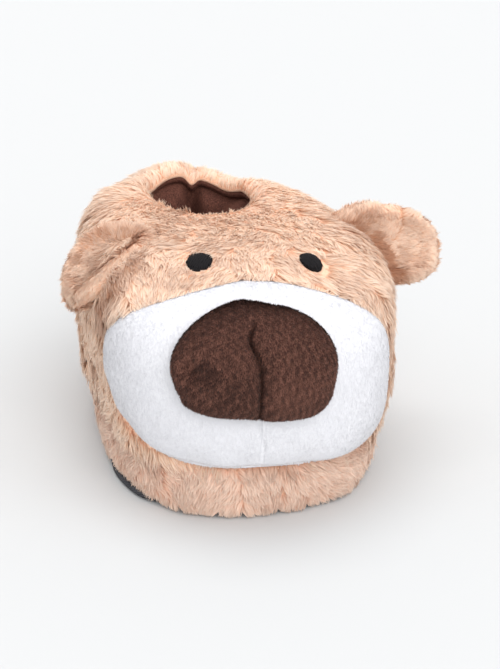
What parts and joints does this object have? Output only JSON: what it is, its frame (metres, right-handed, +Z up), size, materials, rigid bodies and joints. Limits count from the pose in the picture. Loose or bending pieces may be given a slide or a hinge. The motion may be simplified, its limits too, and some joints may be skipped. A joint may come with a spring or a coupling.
{
  "type": "animal slipper",
  "caption": "Closed plush slipper with a bear face: long fur upper, oval collar, domed white muzzle, stuffed brown nose, round ears, fur band and anti-slip sole",
  "frame": {"origin": "on the floor plane, in the middle of the sole's flat underside", "axes": "+Z up; the toe points to -Y and the heel to +Y; X runs across the shoe, the wearer's right side at -X"},
  "size_m": [0.2115, 0.2862, 0.1347],
  "materials": {
    "outsole": "matt dark grey anti-slip fabric with moulded dots",
    "insole": "dark brown short pile over foam",
    "sole_band": "long peach-tan fur pile",
    "upper": "long peach-tan fur pile over a padded shell",
    "muzzle": "white short pile",
    "nose": "dark brown short pile, stuffed",
    "eyes": "black embroidery thread",
    "ears": "tan fur pile over a thin pad"
  },
  "bodies": {
    "root": {"outsole": "outsole", "insole": "insole", "sole_band": "sole_band", "upper": "upper", "muzzle": "muzzle", "nose": "nose", "eye_left": "eyes", "eye_right": "eyes", "ear_left": "ears", "ear_right": "ears"}
  },
  "joints": []
}
